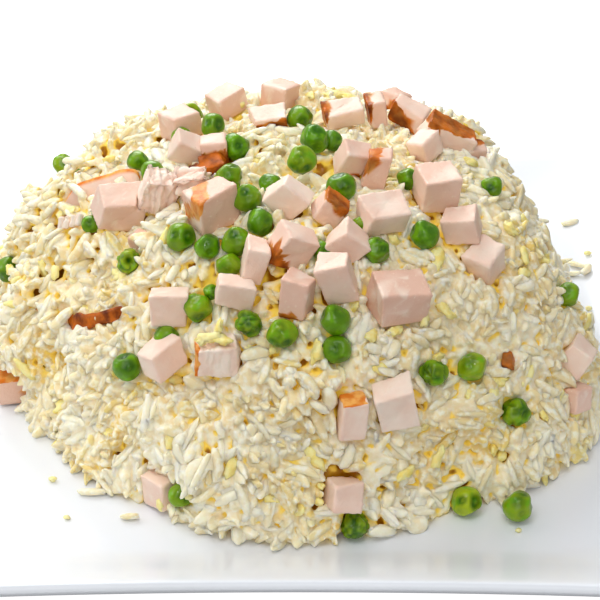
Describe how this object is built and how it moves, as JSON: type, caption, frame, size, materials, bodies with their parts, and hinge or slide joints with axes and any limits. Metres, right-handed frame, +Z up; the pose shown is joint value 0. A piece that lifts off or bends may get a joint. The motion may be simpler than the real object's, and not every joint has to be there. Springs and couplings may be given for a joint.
{
  "type": "fried rice plate",
  "caption": "Helping of fried rice with diced ham, garden peas and scraps of egg, heaped in a tall dome on a square white plate with a raised rim.",
  "frame": {"origin": "middle of the bounding box at its bottom, on the surface that the plate's foot ring stands on", "axes": "+Z up, the shortest extent; +X to the right and +Y away from the eater, along the plate's sides"},
  "size_m": [0.253, 0.253, 0.0952],
  "materials": {
    "glazed_porcelain": "white glazed porcelain",
    "fried_rice": "cooked long-grain rice, moist and slightly oily, with yellow egg and browned bits",
    "ham": "cut cooked ham, pale pink, with browned rind on some pieces",
    "pea": "cooked garden pea, moist green skin"
  },
  "bodies": {
    "root": {"plate": "glazed_porcelain", "rice": "fried_rice", "ham_01": "ham", "ham_02": "ham", "ham_03": "ham", "ham_04": "ham", "ham_05": "ham", "ham_06": "ham", "ham_07": "ham", "ham_08": "ham", "ham_09": "ham", "ham_10": "ham", "ham_11": "ham", "ham_12": "ham", "ham_13": "ham", "ham_14": "ham", "ham_15": "ham", "ham_16": "ham", "ham_17": "ham", "ham_18": "ham", "ham_19": "ham", "ham_20": "ham", "ham_21": "ham", "ham_22": "ham", "ham_23": "ham", "ham_24": "ham", "ham_25": "ham", "ham_26": "ham", "ham_27": "ham", "ham_28": "ham", "ham_29": "ham", "ham_30": "ham", "ham_31": "ham", "ham_32": "ham", "ham_33": "ham", "ham_34": "ham", "ham_35": "ham", "pea_01": "pea", "pea_02": "pea", "pea_03": "pea", "pea_04": "pea", "pea_05": "pea", "pea_06": "pea", "pea_07": "pea", "pea_08": "pea", "pea_09": "pea", "pea_10": "pea", "pea_11": "pea", "pea_12": "pea", "pea_13": "pea", "pea_14": "pea", "pea_15": "pea", "pea_16": "pea", "pea_17": "pea", "pea_18": "pea", "pea_19": "pea", "pea_20": "pea", "pea_21": "pea", "pea_22": "pea", "pea_23": "pea"}
  },
  "joints": []
}
